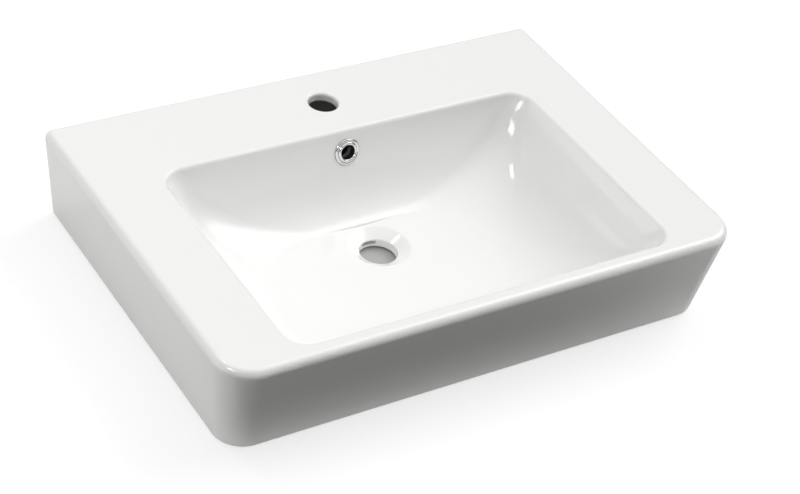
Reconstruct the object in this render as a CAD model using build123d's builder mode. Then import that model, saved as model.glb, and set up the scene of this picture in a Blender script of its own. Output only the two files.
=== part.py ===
"""Countertop basin: one glazed casting with its bowl, tap deck, overflow duct and waste hole,
and the three-piece trim that lines the overflow hole.

The basin stands on its foot rim at z = 0. X runs along its length, the front looks along -Y and
the back lies flat against a wall. The origin is the middle of the footprint. Sizes are millimetres.
"""

import os
from math import atan, cos, radians, sin, tan

from build123d import *

# Outside of the casting
LENGTH = 650.0
DEPTH = 450.0
HEIGHT = 120.0
SIDE_DRAW = 14.6
FRONT_DRAW = 16.5
FRONT_CORNER_R = 41.0
FOOT_CORNER_R = 34.0
BACK_EDGE_R = 6.0
BACK_TRIM = 4.0
DECK_EDGE_R = 9.0
FOOT_EDGE_R = 5.5

# Walls of the casting
APRON_T = 11.0
BACK_T = 12.0
DECK_T = 10.0
RIM_T = 28.0
WALL_T = 7.0
FLOOR_T = 9.0
UNDERSIDE_R = 6.0
POCKET_SIDE = 17.0
POCKET_FRONT = 36.0

# Bowl, measured down from the deck
BOWL_LENGTH = 486.0
BOWL_FRONT_LAND = 19.5
BOWL_BACK_LAND = 119.0
BOWL_CORNER_R = 26.0
BOWL_CORNER_GAIN = 0.7
BOWL_RIM_R = 5.0
SIDE_LEAN = 25.0
FRONT_LEAN = 22.0
BACK_LEAN = 1.0
SIDE_SWEEP = 62.0
FRONT_SWEEP = 62.0
BACK_SWEEP = 54.0
SIDE_SWEEP_RISE = 50.5
BACK_SWEEP_RISE = 88.5
SIDE_SWEEP_POWER = 2.0
BACK_SWEEP_POWER = 1.6
FLOOR_FALL = 2.5
SWEEP_TURNS = (0.0, 14.0, 28.0, 42.0, 56.0, 70.0, 90.0)
RIM_CLEAR = 8.0

# Waste hole, its seat this high above the counter
DRAIN_SEAT = 12.5
DRAIN_FROM_BACK = 215.0
DRAIN_R = 22.5
DRAIN_RECESS_R = 37.0
DRAIN_RECESS_DEPTH = 8.5
DRAIN_RECESS_EDGE_R = 6.0
RECESS_LAND = 2.0
DRAIN_EDGE_R = 1.2
BOSS_R = 37.0
BOSS_FOOT = 3.0

# Tap hole
TAP_FROM_BACK = 60.0
TAP_R = 17.5
TAP_EDGE_R = 3.5

# Overflow duct behind the bowl
DUCT_WIDTH = 44.0
DUCT_DEPTH = 15.0
DUCT_WALL = 6.0
DUCT_BEND = 36.0
DUCT_FOOT = 76.0
SLOT_WIDTH = 20.0
SLOT_FLOOR = 5.4
SLOT_ROOF = 10.4
SLOT_CORNER_R = 2.0

# Overflow hole and its trim
OVERFLOW_DEPTH = 28.5
OVERFLOW_R = 12.0
SEAT_R = 16.8
SEAT_SINK = 0.6
TRIM_GAP = 0.3
BEZEL_R = 16.2
BEZEL_EDGE_T = 0.8
BEZEL_CROWN_R = 14.3
BEZEL_CROWN_T = 1.9
BEZEL_GROOVE_R = 12.4
BEZEL_GROOVE_T = 0.9
BEZEL_LIP_R = 10.2
BEZEL_LIP_T = 3.2
BEZEL_EYE_R = 8.8
BEZEL_EYE_T = 1.6
SPIGOT_R = 9.8
SPIGOT_LENGTH = 6.5
SEAL_OUTER_R = 15.6
LIP_T = 1.0
LIP_R = 13.3
SLEEVE_LENGTH = 14.0
BARB_R = 12.6
BARB_DEPTH = 9.6
BARB_END_R = 11.0
SPLIT_WIDTH = 2.4
SPLIT_DEPTH = 4.0

# Wall fixing holes
FIXING_SPACING = 280.0
FIXING_R = 7.0
FIXING_HEIGHT = 64.0

BACK = DEPTH / 2
DRAIN_Y = BACK - DRAIN_FROM_BACK
TAP_Y = BACK - TAP_FROM_BACK
DRAIN_FLOOR = DRAIN_SEAT + DRAIN_RECESS_DEPTH
FLOOR_DEPTH = HEIGHT - DRAIN_FLOOR - FLOOR_FALL

# The rounded deck edge stops short of the sharp outline it is cut from
SIDE_OVER = DECK_EDGE_R * (tan(radians(45) + atan(SIDE_DRAW / HEIGHT) / 2) - 1)
FRONT_OVER = DECK_EDGE_R * (tan(radians(45) + atan(FRONT_DRAW / HEIGHT) / 2) - 1)


def wall_reach(depth, lean, sweep, rise, power):
    """How far a wall has come in at one depth, by its lean and its sweep into the floor.

    A power of 2 makes the sweep a quarter ellipse, and a lower one turns more evenly.
    """
    share = max(0.0, min(1.0, 1 - (FLOOR_DEPTH - depth) / rise))
    return depth * tan(radians(lean)) + sweep * (1 - (1 - share**power) ** (1 / power))


def back_wall(depth):
    """Y of the bowl's back wall at one depth."""
    reach = wall_reach(depth, BACK_LEAN, BACK_SWEEP, BACK_SWEEP_RISE, BACK_SWEEP_POWER)
    return BACK - BOWL_BACK_LAND - reach


def bowl_level(depth):
    """Half length, front y, back y and corner radius of the bowl at one depth."""
    side = wall_reach(depth, SIDE_LEAN, SIDE_SWEEP, SIDE_SWEEP_RISE, SIDE_SWEEP_POWER)
    front = wall_reach(depth, FRONT_LEAN, FRONT_SWEEP, SIDE_SWEEP_RISE, SIDE_SWEEP_POWER)
    return (
        BOWL_LENGTH / 2 - side,
        -BACK + BOWL_FRONT_LAND + front,
        back_wall(depth),
        BOWL_CORNER_R + BOWL_CORNER_GAIN * side,
    )


def bowl_bands():
    """Heights and outlines of the bowl's three bands: upright rim, sweep into the floor, floor."""
    start = FLOOR_DEPTH - BACK_SWEEP_RISE
    depths = [start + BACK_SWEEP_RISE * sin(radians(turn)) for turn in SWEEP_TURNS]
    rim = [(HEIGHT - depth, bowl_level(depth)) for depth in (-RIM_CLEAR, start)]
    sweep = [(HEIGHT - depth, bowl_level(depth)) for depth in depths]
    reach = DRAIN_RECESS_R + RECESS_LAND
    ring = (reach, DRAIN_Y - reach, DRAIN_Y + reach, reach - 0.5)
    return rim, sweep, [sweep[-1], (DRAIN_FLOOR, ring)]


# Hollow of the bowl
with BuildPart() as bowl_hollow:
    for band in bowl_bands():
        for height, (half, front, back, corner) in band:
            with BuildSketch(Plane.XY.offset(height)):
                with Locations((0, (front + back) / 2)):
                    RectangleRounded(2 * half, back - front, min(corner, (back - front) / 2 - 0.4))
        loft(ruled=len(band) == 2)

# Outer skin of the bowl, the hollow grown by its wall and let down by its floor
with BuildPart() as bowl_skin:
    for band in bowl_bands():
        for height, (half, front, back, corner) in band:
            with BuildSketch(Plane.XY.offset(height - FLOOR_T)):
                with Locations((0, (front + back) / 2)):
                    RectangleRounded(
                        2 * (half + WALL_T),
                        back - front + 2 * WALL_T,
                        min(corner, (back - front) / 2 - 0.4) + WALL_T,
                    )
        loft(ruled=len(band) == 2)

# Overflow duct, seen from the side: the clay round it and the passage inside
duct_front = back_wall(DECK_T) + WALL_T
duct_back = duct_front + DUCT_DEPTH
duct_top = HEIGHT - DECK_T
with BuildPart() as duct_clay:
    with BuildSketch(Plane.YZ):
        with BuildLine():
            Polyline(
                (DRAIN_Y + DRAIN_R, BOSS_FOOT),
                (DRAIN_Y + DUCT_FOOT, BOSS_FOOT),
                (duct_back + DUCT_WALL, DUCT_BEND - 2),
                (duct_back + DUCT_WALL, duct_top + 2),
                (BACK - BOWL_BACK_LAND - DUCT_WALL, duct_top + 2),
                (DRAIN_Y + DRAIN_R, DRAIN_SEAT),
                close=True,
            )
        make_face()
    extrude(amount=DUCT_WIDTH / 2 + DUCT_WALL, both=True)
    fillet(edges().filter_by(Axis.Z).group_by(Axis.Y)[-1], DUCT_WALL)

with BuildPart() as duct_passage:
    with BuildSketch(Plane.YZ):
        with BuildLine():
            Polyline(
                (DRAIN_Y + DRAIN_R + DUCT_WALL, SLOT_FLOOR),
                (DRAIN_Y + DUCT_FOOT - 2, SLOT_FLOOR),
                (duct_back, DUCT_BEND),
                (duct_back, duct_top),
                (BACK - BOWL_BACK_LAND, duct_top),
                (DRAIN_Y + DRAIN_R + DUCT_WALL, SLOT_ROOF),
                close=True,
            )
        make_face()
    extrude(amount=DUCT_WIDTH / 2, both=True)
    add(bowl_skin.part, mode=Mode.SUBTRACT)

# Hollow of the underside, open at the foot
with BuildPart() as underside:
    with BuildSketch(Plane.XY.offset(-1)):
        with Locations((0, (FRONT_DRAW + APRON_T - BACK_T) / 2)):
            Rectangle(LENGTH - 2 * SIDE_DRAW - 2 * APRON_T, DEPTH - FRONT_DRAW - APRON_T - BACK_T)
        fillet(vertices().group_by(Axis.Y)[0], FOOT_CORNER_R - APRON_T)
        fillet(vertices().group_by(Axis.Y)[-1], APRON_T)
    with BuildSketch(Plane.XY.offset(HEIGHT - RIM_T)):
        draw = RIM_T / HEIGHT
        with Locations((0, (FRONT_DRAW * draw + APRON_T - BACK_T) / 2)):
            Rectangle(
                LENGTH - 2 * SIDE_DRAW * draw - 2 * APRON_T,
                DEPTH - FRONT_DRAW * draw - APRON_T - BACK_T,
            )
        fillet(vertices().group_by(Axis.Y)[0], FOOT_CORNER_R - APRON_T)
        fillet(vertices().group_by(Axis.Y)[-1], APRON_T)
    loft(ruled=True)
    with BuildSketch(Plane.XY.offset(HEIGHT - RIM_T - 1)):
        with Locations((0, (POCKET_FRONT - BACK_T) / 2)):
            RectangleRounded(LENGTH - 2 * POCKET_SIDE, DEPTH - POCKET_FRONT - BACK_T, APRON_T)
    extrude(amount=RIM_T - DECK_T + 1)
    fillet(edges().group_by(Axis.Z)[-1], UNDERSIDE_R)
    add(bowl_skin.part, mode=Mode.SUBTRACT)
    with Locations((0, DRAIN_Y, (DRAIN_FLOOR + BOSS_FOOT) / 2)):
        Cylinder(BOSS_R, DRAIN_FLOOR - BOSS_FOOT, mode=Mode.SUBTRACT)
    add(duct_clay.part, mode=Mode.SUBTRACT)

# The casting
seat_rise = back_wall(OVERFLOW_DEPTH - SEAT_R) - back_wall(OVERFLOW_DEPTH + SEAT_R)
seat_lean = atan(seat_rise / (2 * SEAT_R))
seat_y = back_wall(OVERFLOW_DEPTH) + SEAT_SINK * cos(seat_lean)
seat_z = HEIGHT - OVERFLOW_DEPTH - SEAT_SINK * sin(seat_lean)
seat_normal = (0, -cos(seat_lean), sin(seat_lean))
seat_plane = Plane((0, seat_y, seat_z), (1, 0, 0), seat_normal)

with BuildPart() as basin_body:
    with BuildSketch(Plane.XY):
        with Locations((0, (FRONT_DRAW + BACK_TRIM) / 2)):
            Rectangle(LENGTH - 2 * SIDE_DRAW, DEPTH - FRONT_DRAW + BACK_TRIM)
        fillet(vertices().group_by(Axis.Y)[0], FOOT_CORNER_R)
    with BuildSketch(Plane.XY.offset(HEIGHT)):
        with Locations((0, (BACK_TRIM - FRONT_OVER) / 2)):
            Rectangle(LENGTH + 2 * SIDE_OVER, DEPTH + FRONT_OVER + BACK_TRIM)
        fillet(vertices().group_by(Axis.Y)[0], FRONT_CORNER_R)
    loft(ruled=True)
    # The back is ground flat to stand against its wall
    with Locations((0, BACK + BACK_TRIM, HEIGHT / 2)):
        Box(LENGTH + 2 * BACK_TRIM, 2 * BACK_TRIM, HEIGHT + 2 * BACK_TRIM, mode=Mode.SUBTRACT)
    deck_edges = edges().group_by(Axis.Z)[-1].filter_by(lambda edge: edge.center().Y < BACK - 1)
    fillet(deck_edges, DECK_EDGE_R)
    back_edges = edges().filter_by_position(Axis.Y, BACK - 0.01, BACK + 0.01)
    fillet(back_edges.filter_by(lambda edge: edge.center().Z > 1), BACK_EDGE_R)
    fillet(edges().group_by(Axis.Z)[0], FOOT_EDGE_R)
    add(bowl_hollow.part, mode=Mode.SUBTRACT)
    rim = edges().filter_by_position(Axis.Z, HEIGHT - 0.01, HEIGHT + 0.01)
    rim = rim.filter_by(lambda edge: abs(edge.center().X) < BOWL_LENGTH / 2 + 1)
    rim = rim.filter_by(lambda edge: edge.center().Y < BACK - BOWL_BACK_LAND + 1)
    rim = rim.filter_by(lambda edge: edge.center().Y > -BACK + BOWL_FRONT_LAND - 1)
    fillet(rim, BOWL_RIM_R)
    add(underside.part, mode=Mode.SUBTRACT)
    # Waste hole with the dished seat of its flange
    with Locations((0, DRAIN_Y, DRAIN_SEAT / 2)):
        Cylinder(DRAIN_R, DRAIN_SEAT + 4, mode=Mode.SUBTRACT)
    with Locations((0, DRAIN_Y, DRAIN_SEAT + DRAIN_RECESS_DEPTH)):
        Cone(DRAIN_R, 2 * DRAIN_RECESS_R - DRAIN_R, 2 * DRAIN_RECESS_DEPTH, mode=Mode.SUBTRACT)
    rings = edges().filter_by(GeomType.CIRCLE)
    rings = rings.filter_by_position(Axis.Z, DRAIN_FLOOR - 0.01, DRAIN_FLOOR + 0.01)
    fillet(rings.filter_by(lambda edge: edge.radius < DRAIN_RECESS_R + 0.1), DRAIN_RECESS_EDGE_R)
    rings = edges().filter_by(GeomType.CIRCLE)
    fillet(rings.filter_by_position(Axis.Z, DRAIN_SEAT - 0.01, DRAIN_SEAT + 0.01), DRAIN_EDGE_R)
    # Tap hole
    with Locations((0, TAP_Y, HEIGHT - DECK_T)):
        Cylinder(TAP_R, 2 * DECK_T + 8, mode=Mode.SUBTRACT)
    tap_rim = edges().filter_by(GeomType.CIRCLE).filter_by_position(Axis.Z, HEIGHT - 0.01, HEIGHT + 0.01)
    fillet(tap_rim.sort_by_distance((0, TAP_Y, HEIGHT))[0], TAP_EDGE_R)
    # Overflow hole and duct
    add(duct_passage.part, mode=Mode.SUBTRACT)
    with BuildSketch(Plane.XZ.offset(-DRAIN_Y)):
        with Locations((0, (SLOT_FLOOR + SLOT_ROOF) / 2)):
            RectangleRounded(SLOT_WIDTH, SLOT_ROOF - SLOT_FLOOR, SLOT_CORNER_R)
    extrude(amount=-(DRAIN_R + 12), mode=Mode.SUBTRACT)
    with BuildSketch(seat_plane):
        Circle(SEAT_R)
    extrude(amount=4, mode=Mode.SUBTRACT)
    with BuildSketch(seat_plane):
        Circle(OVERFLOW_R)
    extrude(amount=-14, mode=Mode.SUBTRACT)
    # Wall fixing holes
    with BuildSketch(Plane.XZ.offset(-BACK)):
        with Locations((-FIXING_SPACING / 2, FIXING_HEIGHT), (FIXING_SPACING / 2, FIXING_HEIGHT)):
            Circle(FIXING_R)
    extrude(amount=BACK_T + 2, mode=Mode.SUBTRACT)

# Overflow trim, its profiles drawn outwards from the axis of the hole
trim_plane = Plane(seat_plane.origin, (1, 0, 0), (0, -sin(seat_lean), -cos(seat_lean)))
trim_axis = Axis(seat_plane.origin, seat_normal)

with BuildPart() as overflow_bezel:
    with BuildSketch(trim_plane):
        with BuildLine():
            ThreePointArc(
                (BEZEL_EYE_R, LIP_T + BEZEL_EYE_T),
                (BEZEL_LIP_R, LIP_T + BEZEL_LIP_T),
                (BEZEL_GROOVE_R, LIP_T + BEZEL_GROOVE_T),
            )
            ThreePointArc(
                (BEZEL_GROOVE_R, LIP_T + BEZEL_GROOVE_T),
                (BEZEL_CROWN_R, LIP_T + BEZEL_CROWN_T),
                (BEZEL_R, LIP_T + BEZEL_EDGE_T),
            )
            Polyline(
                (BEZEL_R, LIP_T + BEZEL_EDGE_T),
                (BEZEL_R, LIP_T),
                (SPIGOT_R, LIP_T),
                (SPIGOT_R, LIP_T - SPIGOT_LENGTH),
                (BEZEL_EYE_R, LIP_T - SPIGOT_LENGTH),
                (BEZEL_EYE_R, LIP_T + BEZEL_EYE_T),
            )
        make_face()
    revolve(axis=trim_axis)

with BuildPart() as overflow_sleeve:
    with BuildSketch(trim_plane):
        with BuildLine():
            Polyline(
                (SPIGOT_R + TRIM_GAP, LIP_T),
                (LIP_R, LIP_T),
                (LIP_R, 0),
                (OVERFLOW_R - TRIM_GAP, 0),
                (OVERFLOW_R - TRIM_GAP, -BARB_DEPTH),
                (BARB_R, -BARB_DEPTH),
                (BARB_END_R, -SLEEVE_LENGTH),
                (SPIGOT_R + TRIM_GAP, -SLEEVE_LENGTH),
                close=True,
            )
        make_face()
    revolve(axis=trim_axis)
    with BuildSketch(seat_plane.offset(-SPLIT_DEPTH)):
        Rectangle(2 * BARB_R + 2, SPLIT_WIDTH)
        Rectangle(SPLIT_WIDTH, 2 * BARB_R + 2)
    extrude(amount=-SLEEVE_LENGTH, mode=Mode.SUBTRACT)

with BuildPart() as overflow_seal:
    with BuildSketch(seat_plane):
        Circle(SEAL_OUTER_R)
        Circle(LIP_R + TRIM_GAP, mode=Mode.SUBTRACT)
    extrude(amount=LIP_T)

os.makedirs("parts", exist_ok=True)

basin_body.part.label = "basin_body"
export_step(basin_body.part, "parts/basin_body.step")
overflow_bezel.part.label = "overflow_bezel"
export_step(overflow_bezel.part, "parts/overflow_bezel.step")
overflow_sleeve.part.label = "overflow_sleeve"
export_step(overflow_sleeve.part, "parts/overflow_sleeve.step")
overflow_seal.part.label = "overflow_seal"
export_step(overflow_seal.part, "parts/overflow_seal.step")
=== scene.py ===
"""Countertop basin in a plain white studio, seen from high at its front left corner."""

from math import cos, radians, sin

import bpy
from mathutils import Matrix, Vector


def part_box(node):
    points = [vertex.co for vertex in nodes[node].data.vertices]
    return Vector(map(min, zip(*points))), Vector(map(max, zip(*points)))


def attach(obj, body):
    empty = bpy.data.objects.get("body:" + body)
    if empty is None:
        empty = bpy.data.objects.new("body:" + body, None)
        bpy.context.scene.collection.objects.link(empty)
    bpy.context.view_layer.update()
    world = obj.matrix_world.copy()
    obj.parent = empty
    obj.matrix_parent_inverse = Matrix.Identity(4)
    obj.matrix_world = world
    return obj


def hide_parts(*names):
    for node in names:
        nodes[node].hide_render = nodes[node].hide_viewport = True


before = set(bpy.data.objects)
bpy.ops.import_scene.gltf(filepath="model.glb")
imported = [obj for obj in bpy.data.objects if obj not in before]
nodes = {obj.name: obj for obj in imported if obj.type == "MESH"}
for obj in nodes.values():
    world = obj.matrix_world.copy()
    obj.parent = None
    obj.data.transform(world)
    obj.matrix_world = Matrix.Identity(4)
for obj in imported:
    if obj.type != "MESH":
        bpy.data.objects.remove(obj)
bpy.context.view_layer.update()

# Camera, in metres, degrees and, for its lens and sensor, millimetres
CAMERA_AT = (-1.1636, -1.5513, 1.5261)
CAMERA_YAW = 37.39
CAMERA_PITCH = 37.64
CAMERA_ROLL = 10.07
CAMERA_LENS = 96.43
CAMERA_SENSOR = 36.0
CAMERA_REACH = 50.0

# Finishes
GLAZE_WHITE = (0.93, 0.93, 0.915, 1.0)
GLAZE_ROUGHNESS = 0.08
CLAY_CREAM = (0.72, 0.68, 0.60, 1.0)
# Painted shade: a dark clay colour standing in for the shade inside the overflow duct
DUCT_PAINTED_SHADE = (0.22, 0.21, 0.19, 1.0)
CLAY_ROUGHNESS = 0.85
CHROME_SILVER = (0.78, 0.79, 0.80, 1.0)
# Painted shade: the chrome in the ring's bore is darkened in place of the shade inside it
CHROME_BORE_PAINTED_SHADE = (0.16, 0.16, 0.17, 1.0)
CHROME_ROUGHNESS = 0.06
BORE_DULLNESS = 0.4
SLEEVE_GREY = (0.62, 0.62, 0.60, 1.0)
SLEEVE_ROUGHNESS = 0.45
SEAL_BLACK = (0.02, 0.02, 0.02, 1.0)
SEAL_ROUGHNESS = 0.7

# Bare clay under the flat of the foot. The box around the overflow duct gets clay roughness and a dark
# clay colour, painted shade for the dark inside of the duct
FOOT_BARE_TO = 0.0007
DUCT_HALF_WIDTH = 0.0222
DUCT_FRONT = 0.1085
DUCT_BACK = 0.1285
DUCT_TOP = 0.1103

# Overflow ring: how far its axis tips down into the wall, and the bore through it
RING_LEAN = 15.5
RING_BORE_R = 0.0090

# Shading of the merged pieces
MERGE_WITHIN = 1e-6
SMOOTH_UP_TO = 34.4

# Floor, and the black card that lies on it before the basin
WHITE = (1.0, 1.0, 1.0, 1.0)
FLOOR_SIZE = 12.0
FLOOR_GREY = (0.45, 0.45, 0.45, 1.0)
FLOOR_GLOW = 0.62
FLOOR_ROUGHNESS = 0.9
BOUNCE_GREY = (0.75, 0.75, 0.75, 1.0)
CARD_BLACK = (0.02, 0.02, 0.02, 1.0)
CARD_FRONT = (-0.215, -0.26)
CARD_LEFT = (-1.00, -0.60)
CARD_RIGHT = (0.65, 0.05)
HOLE_SHADE = (0.08, 0.12)

# Light tent: its top, its even part, the key high on the right and the low fill on the left
TENT_TOP = 1.08
TENT_LOW = 0.105
KEY_FROM = (0.70, 0.10, 0.70)
KEY_EDGE = 26.0
KEY_CORE = 12.0
KEY_STRENGTH = 3.1
FILL_STRENGTH = 2.4
FILL_LOW = (0.34, 0.12)
FILL_LEFT = (-0.60, -0.95)
FILL_BEHIND = (-0.45, 0.05)

# Lamps that are mirrored in the glaze: place, aim, width, height and watts
WINDOW = ((-1.88, -0.55, 1.49), (0.2, 0.05, 0.06), 0.8, 0.5, 12.0)
OVERHEAD_STRIP = ((-0.94, 0.94, 2.24), (0.0, 0.0, 0.0), 0.5, 0.3, 5.0)


def add_node(tree, kind, inputs, **settings):
    """A shader node. Each of its sockets takes a value or another node's output."""
    node = tree.nodes.new(kind)
    for setting, value in settings.items():
        setattr(node, setting, value)
    for socket, value in inputs.items():
        if isinstance(value, bpy.types.NodeSocket):
            tree.links.new(value, node.inputs[socket])
        else:
            node.inputs[socket].default_value = value
    return node


def reckon(tree, operation, first, second=0.0, third=0.0):
    """The result of one arithmetic step."""
    sockets = {0: first, 1: second, 2: third}
    return add_node(tree, "ShaderNodeMath", sockets, operation=operation).outputs[0]


def product(tree, first, *others):
    """Masks multiplied, 1 where they are all 1."""
    for other in others:
        first = reckon(tree, "MULTIPLY", first, other)
    return first


def vector_step(tree, operation, first, second=(0.0, 0.0, 0.0)):
    """The outputs of one vector step, its vector and its value."""
    return add_node(tree, "ShaderNodeVectorMath", {0: first, 1: second}, operation=operation).outputs


def fade(tree, value, start, end):
    """0 at start, 1 at end, and a soft step between them."""
    sockets = {"Value": value, "From Min": start, "From Max": end}
    return add_node(tree, "ShaderNodeMapRange", sockets, interpolation_type="SMOOTHSTEP").outputs["Result"]


def blend(tree, factor, first, second):
    """One colour where the factor is 0, the other where it is 1."""
    sockets = {"Factor": factor, "A": first, "B": second}
    return add_node(tree, "ShaderNodeMix", sockets, data_type="RGBA").outputs["Result"]


def split_axes(tree, place):
    """The X, Y and Z outputs of a place."""
    return add_node(tree, "ShaderNodeSeparateXYZ", {"Vector": place}).outputs


def object_place(tree):
    """The place of a point on a piece."""
    return tree.nodes.new("ShaderNodeTexCoord").outputs["Object"]


def new_material(name):
    """A node material, its tree and its Principled shader."""
    material = bpy.data.materials.new(name)
    material.use_nodes = True
    tree = material.node_tree
    return material, tree, tree.nodes["Principled BSDF"]


def plain_material(name, colour, roughness):
    """One even finish."""
    material, tree, shader = new_material(name)
    shader.inputs["Base Color"].default_value = colour
    shader.inputs["Roughness"].default_value = roughness
    return material


def glaze_material():
    """White gloss glaze, with fired clay left bare under the foot, and rough clay darkened with painted
    shade in the overflow duct.
    """
    material, tree, shader = new_material("white glaze")
    axes = split_axes(tree, object_place(tree))
    foot = reckon(tree, "LESS_THAN", axes["Z"], FOOT_BARE_TO)
    beside = reckon(tree, "LESS_THAN", reckon(tree, "ABSOLUTE", axes["X"]), DUCT_HALF_WIDTH)
    behind = reckon(tree, "GREATER_THAN", axes["Y"], DUCT_FRONT)
    before = reckon(tree, "LESS_THAN", axes["Y"], DUCT_BACK)
    under = reckon(tree, "LESS_THAN", axes["Z"], DUCT_TOP)
    # The overflow duct's box gets painted shade, a dark clay colour in place of the shade inside the duct
    duct_shade = product(tree, beside, under, behind, before)
    colour = blend(tree, duct_shade, blend(tree, foot, GLAZE_WHITE, CLAY_CREAM), DUCT_PAINTED_SHADE)
    bare = reckon(tree, "MAXIMUM", foot, duct_shade)
    roughness = reckon(tree, "MULTIPLY_ADD", bare, CLAY_ROUGHNESS - GLAZE_ROUGHNESS, GLAZE_ROUGHNESS)
    tree.links.new(colour, shader.inputs["Base Color"])
    tree.links.new(roughness, shader.inputs["Roughness"])
    return material


def chrome_material(middle, along):
    """Bright chrome, rougher in the bore and darkened there with painted shade; the bore runs along an
    axis through the ring's middle.
    """
    material, tree, shader = new_material("polished chrome")
    away = vector_step(tree, "SUBTRACT", object_place(tree), middle)["Vector"]
    across = vector_step(tree, "CROSS_PRODUCT", away, along)["Vector"]
    radius = vector_step(tree, "LENGTH", across)["Value"]
    # Inside the bore the chrome gets painted shade (darker colour) and a higher roughness
    bore_shade_dull = reckon(tree, "LESS_THAN", radius, RING_BORE_R)
    colour = blend(tree, bore_shade_dull, CHROME_SILVER, CHROME_BORE_PAINTED_SHADE)
    roughness = reckon(tree, "MULTIPLY_ADD", bore_shade_dull, BORE_DULLNESS, CHROME_ROUGHNESS)
    tree.links.new(colour, shader.inputs["Base Color"])
    tree.links.new(roughness, shader.inputs["Roughness"])
    shader.inputs["Metallic"].default_value = 1.0
    return material


def smooth_piece(node, name, material):
    """A merged copy of a CAD node, smooth between its sharp edges, that stands for the node."""
    bpy.ops.object.select_all(action="DESELECT")
    piece = bpy.data.objects.new(name, nodes[node].data.copy())
    bpy.context.scene.collection.objects.link(piece)
    bpy.context.view_layer.objects.active = piece
    piece.select_set(True)
    bpy.ops.object.mode_set(mode="EDIT")
    bpy.ops.mesh.select_all(action="SELECT")
    bpy.ops.mesh.remove_doubles(threshold=MERGE_WITHIN)
    bpy.ops.mesh.customdata_custom_splitnormals_clear()
    bpy.ops.object.mode_set(mode="OBJECT")
    bpy.ops.object.shade_smooth_by_angle(angle=radians(SMOOTH_UP_TO))
    weighted = piece.modifiers.new("weighted normals", "WEIGHTED_NORMAL")
    weighted.keep_sharp = True
    bpy.ops.object.modifier_apply(modifier=weighted.name)
    piece.data.materials.clear()
    piece.data.materials.append(material)
    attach(piece, "root")
    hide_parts(node)


# The basin
smooth_piece("basin_body", "glazed_basin", glaze_material())

# The overflow trim. The ring's axis runs through the middle of its flat seal
seal_low, seal_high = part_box("overflow_seal")
ring_middle = (seal_low + seal_high) / 2
ring_along = Vector((0.0, -cos(radians(RING_LEAN)), sin(radians(RING_LEAN))))
chrome = chrome_material(ring_middle, ring_along)
plastic = plain_material("sleeve plastic", SLEEVE_GREY, SLEEVE_ROUGHNESS)
rubber = plain_material("seal rubber", SEAL_BLACK, SEAL_ROUGHNESS)
smooth_piece("overflow_bezel", "chrome_ring", chrome)
smooth_piece("overflow_sleeve", "split_sleeve", plastic)
smooth_piece("overflow_seal", "flat_seal", rubber)


def floor_material():
    """White to the camera, with the basin's shadow. Other rays meet a pale floor and the card."""
    material, tree, shader = new_material("studio floor")
    place = object_place(tree)
    axes = split_axes(tree, place)
    front = fade(tree, axes["Y"], *CARD_FRONT)
    left = fade(tree, axes["X"], *CARD_LEFT)
    right = fade(tree, axes["X"], *CARD_RIGHT)
    bounce = blend(tree, product(tree, front, left, right), BOUNCE_GREY, CARD_BLACK)
    seen = tree.nodes.new("ShaderNodeLightPath").outputs["Is Camera Ray"]
    # Under the waste hole the floor doesn't glow
    outside = fade(tree, vector_step(tree, "LENGTH", place)["Value"], *HOLE_SHADE)
    glow = product(tree, seen, outside, FLOOR_GLOW)
    tree.links.new(blend(tree, seen, bounce, FLOOR_GREY), shader.inputs["Base Color"])
    tree.links.new(glow, shader.inputs["Emission Strength"])
    shader.inputs["Emission Color"].default_value = WHITE
    shader.inputs["Roughness"].default_value = FLOOR_ROUGHNESS
    shader.inputs["Specular IOR Level"].default_value = 0.0
    return material


bpy.ops.object.select_all(action="DESELECT")
bpy.ops.mesh.primitive_plane_add(size=FLOOR_SIZE, location=(0.0, 0.0, 0.0))
floor = bpy.context.object
floor.name = "studio floor"
floor.data.materials.append(floor_material())


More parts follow.
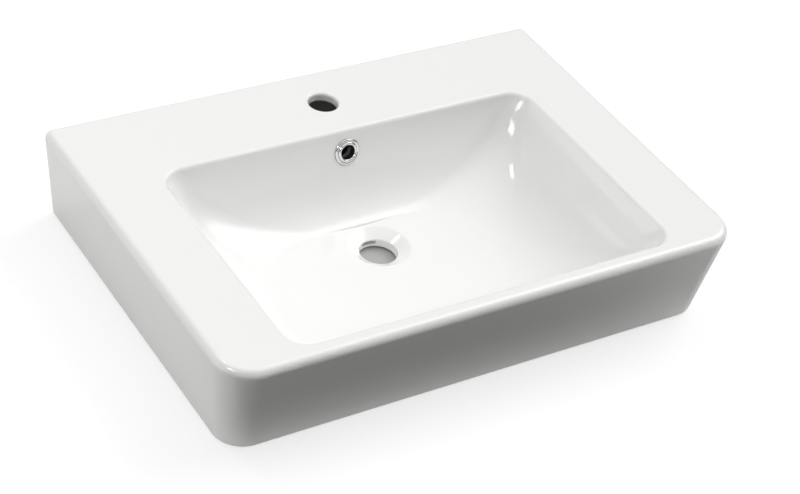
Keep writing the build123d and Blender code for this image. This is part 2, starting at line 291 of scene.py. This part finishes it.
def softbox(name, at, towards, width, height, watts):
    """A soft oblong lamp that looks at a point."""
    bpy.ops.object.select_all(action="DESELECT")
    bpy.ops.object.light_add(type="AREA", location=at)
    lamp = bpy.context.object
    lamp.name = name
    lamp.data.shape = "RECTANGLE"
    lamp.data.size = width
    lamp.data.size_y = height
    lamp.data.energy = watts
    lamp.rotation_euler = (Vector(towards) - Vector(at)).to_track_quat("-Z", "Y").to_euler()
    return lamp


# The window is only seen mirrored, and lights nothing
window = softbox("window", *WINDOW)
window.visible_diffuse = False
softbox("overhead strip", *OVERHEAD_STRIP)


def light_tent():
    """A tent of soft light, strongest overhead, with its key and its fill."""
    world = bpy.data.worlds.new("light tent")
    bpy.context.scene.world = world
    world.use_nodes = True
    tree = world.node_tree
    place = tree.nodes.new("ShaderNodeTexCoord").outputs["Generated"]
    axes = split_axes(tree, place)
    rise = reckon(tree, "MULTIPLY", axes["Z"], axes["Z"])
    overhead = reckon(tree, "MULTIPLY_ADD", rise, TENT_TOP, TENT_LOW)
    nearness = vector_step(tree, "DOT_PRODUCT", place, Vector(KEY_FROM).normalized())["Value"]
    key = fade(tree, nearness, cos(radians(KEY_EDGE)), cos(radians(KEY_CORE)))
    low = fade(tree, axes["Z"], *FILL_LOW)
    left = fade(tree, axes["X"], *FILL_LEFT)
    back = fade(tree, axes["Y"], *FILL_BEHIND)
    fill = product(tree, low, left, back)
    strength = reckon(tree, "MULTIPLY_ADD", key, KEY_STRENGTH, overhead)
    strength = reckon(tree, "MULTIPLY_ADD", fill, FILL_STRENGTH, strength)
    sky = tree.nodes["Background"]
    sky.inputs["Color"].default_value = WHITE
    tree.links.new(strength, sky.inputs["Strength"])


light_tent()

# Camera
yaw, pitch, roll = radians(CAMERA_YAW), radians(CAMERA_PITCH), radians(CAMERA_ROLL)
ahead = Vector((sin(yaw) * cos(pitch), cos(yaw) * cos(pitch), -sin(pitch)))
level = Vector((cos(yaw), -sin(yaw), 0.0))
upright = level.cross(ahead)
right = cos(roll) * level + sin(roll) * upright
top = cos(roll) * upright - sin(roll) * level
bpy.ops.object.camera_add(location=CAMERA_AT)
camera = bpy.context.object
camera.rotation_euler = Matrix((right, top, -ahead)).transposed().to_euler()
camera.data.lens = CAMERA_LENS
camera.data.sensor_width = CAMERA_SENSOR
camera.data.clip_end = CAMERA_REACH
bpy.context.scene.camera = camera
bpy.context.scene.view_settings.view_transform = "Standard"
